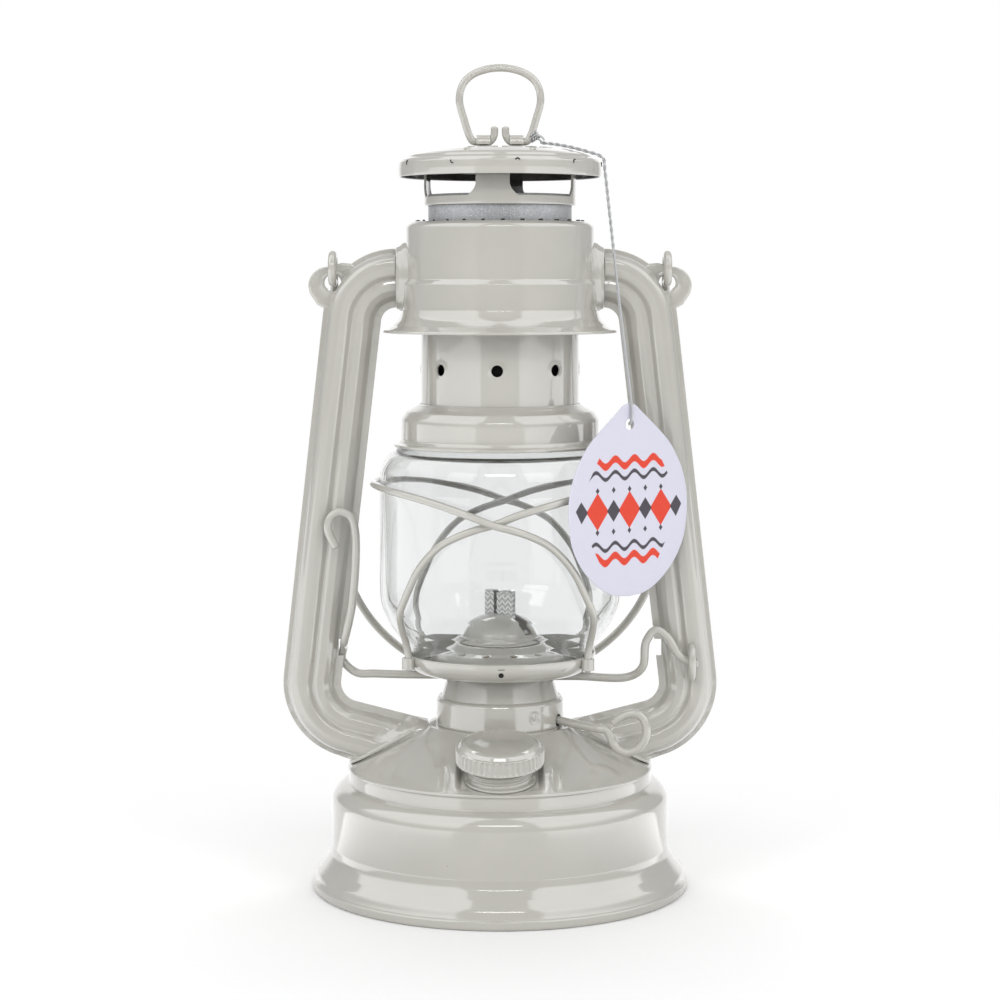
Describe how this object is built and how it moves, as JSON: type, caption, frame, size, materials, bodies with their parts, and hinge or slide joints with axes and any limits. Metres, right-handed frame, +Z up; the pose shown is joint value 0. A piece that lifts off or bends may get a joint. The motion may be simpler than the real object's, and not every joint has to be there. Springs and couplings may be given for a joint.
{
  "type": "kerosene lantern",
  "caption": "Hurricane lantern with a round fuel tank, side air tubes, glass globe in guard wires, hooded chimney, flat wick burner, lift lever, carrying bail and top ring.",
  "frame": {"origin": "centre of the foot's underside, on the surface the lantern stands on", "axes": "+Z up along the chimney, -Y towards the filler cap, +X towards the wick knob and the lever's eye"},
  "size_m": [0.1558, 0.136, 0.2937],
  "materials": {
    "paint": "gloss warm grey stove enamel on sheet steel and wire",
    "globe_glass": "clear blown glass",
    "zinc": "mottled galvanised steel",
    "burner_brass": "plain pressed brass, dulled",
    "wick_cotton": "woven white cotton",
    "seal_rubber": "black rubber washer",
    "tag_card": "stiff pale card with a printed face",
    "silver_string": "metallised silver string"
  },
  "bodies": {
    "frame": {"tank_body": "paint", "tank_bottom": "paint", "tank_dome": "paint", "filler_neck": "paint", "burner_collar": "paint", "burner_cone": "paint", "wick_tube": "burner_brass", "air_tube_left": "paint", "air_tube_right": "paint", "tube_socket_left": "paint", "tube_socket_right": "paint", "crown": "paint", "crown_floor": "paint", "chimney_spring": "zinc", "lever_eye": "paint"},
    "cap_carrier": {"filler_seal": "seal_rubber"},
    "cap": {"filler_cap": "paint"},
    "wick_drive": {"wick_shaft": "paint", "wick_spur_left": "burner_brass", "wick_spur_right": "burner_brass"},
    "wick_strip": {"wick": "wick_cotton"},
    "lever": {"lift_lever": "paint"},
    "globe_carriage": {"globe_plate": "paint", "flame_dome": "paint", "guard_wire_left": "paint", "guard_wire_right": "paint", "globe": "globe_glass"},
    "hood_stack": {"globe_bell": "paint", "chimney_tube": "paint", "flue_tube": "zinc", "hood_carrier": "paint", "hood": "paint", "hood_lug_left": "paint", "hood_lug_right": "paint", "tag_string": "silver_string", "swing_tag": "tag_card"},
    "ring": {"top_ring": "paint"},
    "carrying_bail": {"bail": "paint"}
  },
  "joints": [
    {"name": "cap_turn", "type": "hinge", "parent": "cap_carrier", "child": "cap", "pos_m": [0, -0.0422, 0.0463], "axis": [0, -0.1822, 0.9833], "range_deg": [0, 900]},
    {"name": "cap_travel", "type": "slide", "parent": "frame", "child": "cap_carrier", "axis": [0, -0.1822, 0.9833], "range_m": [0, 0.00526]},
    {"name": "knob_turn", "type": "hinge", "parent": "frame", "child": "wick_drive", "pos_m": [0.00207, 0.00307, 0.0632], "axis": [0.8259, -0.5571, -0.0872], "range_deg": [-150, 300]},
    {"name": "wick_rise", "type": "slide", "parent": "frame", "child": "wick_strip", "axis": [0, 0, 1], "range_m": [-0.0127, 0.0064]},
    {"name": "lever_turn", "type": "hinge", "parent": "frame", "child": "lever", "pos_m": [-0.0563, 0, 0.0862], "axis": [0.9966, -0.0751, -0.0336], "range_deg": [0, 60]},
    {"name": "globe_lift", "type": "slide", "parent": "frame", "child": "globe_carriage", "axis": [0, 0, 1], "range_m": [0, 0.00879], "deforming": ["chimney_spring"]},
    {"name": "hood_lift", "type": "slide", "parent": "globe_carriage", "child": "hood_stack", "axis": [0, 0, 1], "range_m": [0, 0.012], "stiffness_N_per_m": 250, "springref_m": -0.02, "deforming": ["chimney_spring"]},
    {"name": "ring_tilt", "type": "hinge", "parent": "hood_stack", "child": "ring", "pos_m": [0, 0, 0.2666], "axis": [1, 0, 0], "range_deg": [-75, 75]},
    {"name": "bail_swing", "type": "hinge", "parent": "frame", "child": "carrying_bail", "pos_m": [0, 0, 0.2219], "axis": [1, 0, 0], "range_deg": [0, 255]}
  ],
  "couplings": [
    {"joint": "cap_travel", "follows": "cap_turn", "m_per_rad": 0.00033423},
    {"joint": "wick_rise", "follows": "knob_turn", "m_per_rad": -0.0024},
    {"joint": "lever_turn", "follows": "globe_lift", "rad_per_m": 119}
  ]
}
